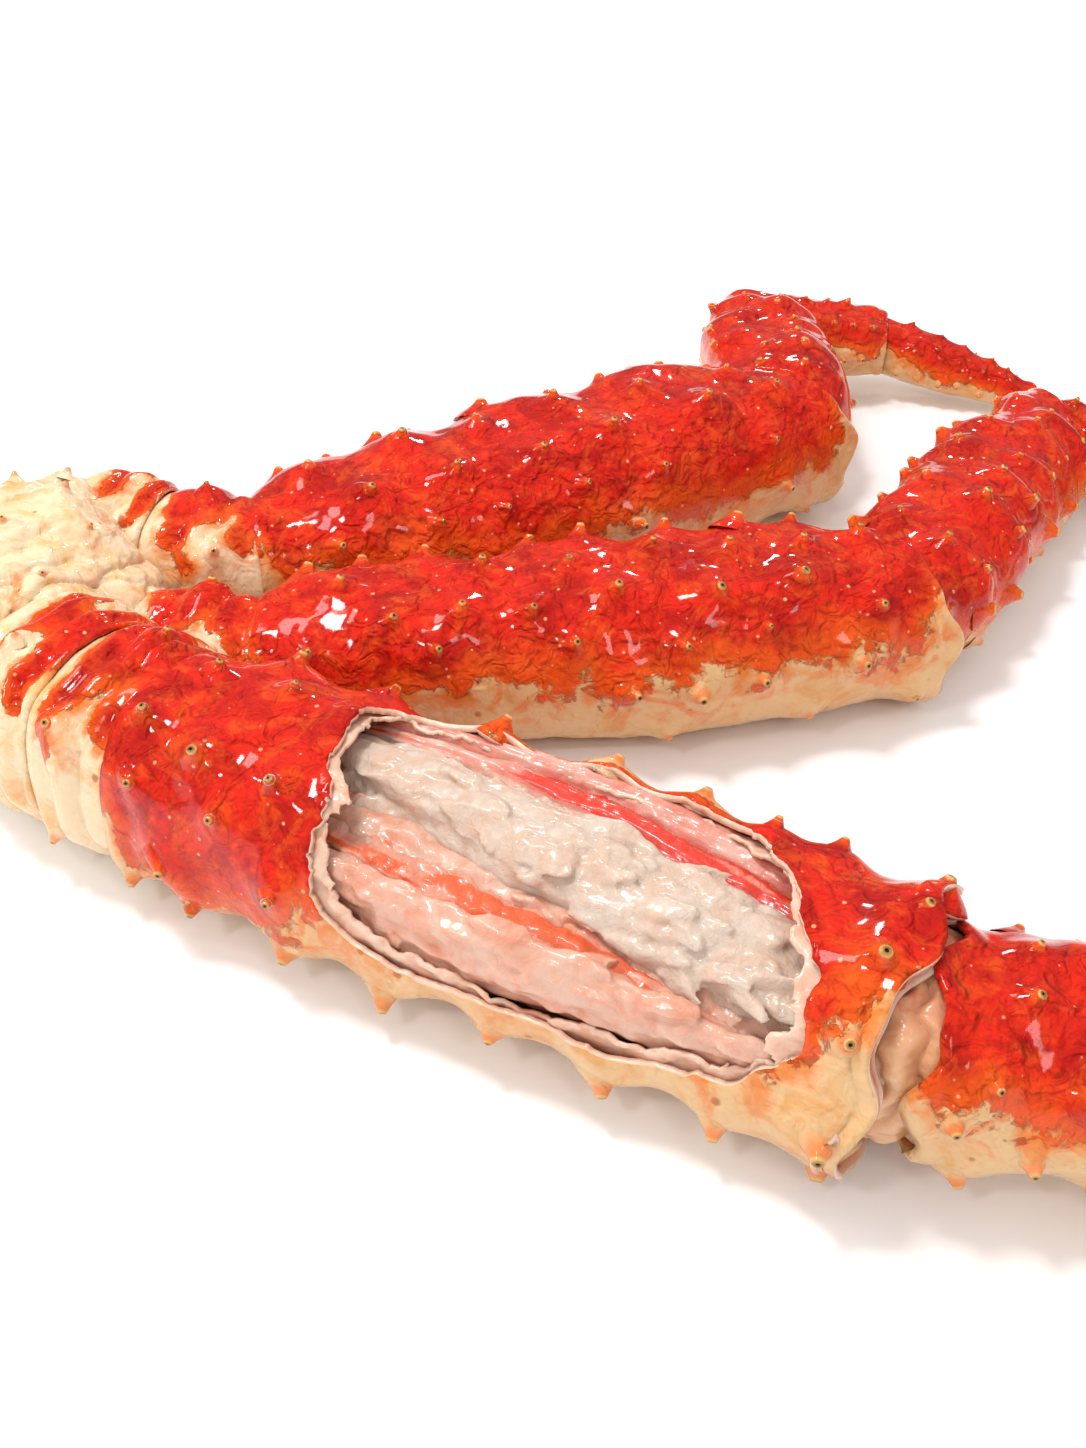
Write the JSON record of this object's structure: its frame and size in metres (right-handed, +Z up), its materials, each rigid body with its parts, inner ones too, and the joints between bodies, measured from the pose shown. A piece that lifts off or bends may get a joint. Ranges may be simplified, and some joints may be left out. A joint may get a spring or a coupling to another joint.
{
  "type": "king crab leg cluster",
  "caption": "Cooked king crab leg cluster: spiny red legs joined at a pale shoulder, the front leg's long shell torn open to show its white meat.",
  "frame": {"origin": "the small flat spot under the shoulder, on the table", "axes": "+Z up, +Y away from the opened front leg, the long way of the cluster, +X from the shoulder out along the legs"},
  "size_m": [0.4052, 0.4419, 0.0533],
  "materials": {
    "shell": "wet glossy cooked shell, red above and cream with orange blotches below",
    "pale_shell": "satin cream shell with orange flecks",
    "joint_skin": "damp wrinkled skin, pale pink to cream",
    "white_meat": "moist fibrous white meat",
    "red_skinned_meat": "moist meat with a red skin"
  },
  "bodies": {
    "root": {"front_ischium": "shell", "front_merus": "shell", "front_carpus": "shell", "front_propodus": "shell", "front_dactyl": "shell", "mid_ischium": "shell", "mid_merus": "shell", "mid_carpus": "shell", "mid_propodus": "shell", "mid_dactyl": "shell", "back_ischium": "shell", "back_merus": "shell", "back_carpus": "shell", "back_propodus": "shell", "back_dactyl": "shell", "shoulder": "pale_shell", "front_basis": "pale_shell", "back_basis": "pale_shell", "front_knee_skin": "joint_skin", "front_white_muscle": "white_meat", "front_near_muscle": "white_meat", "front_skinned_muscle": "red_skinned_meat"}
  },
  "joints": []
}
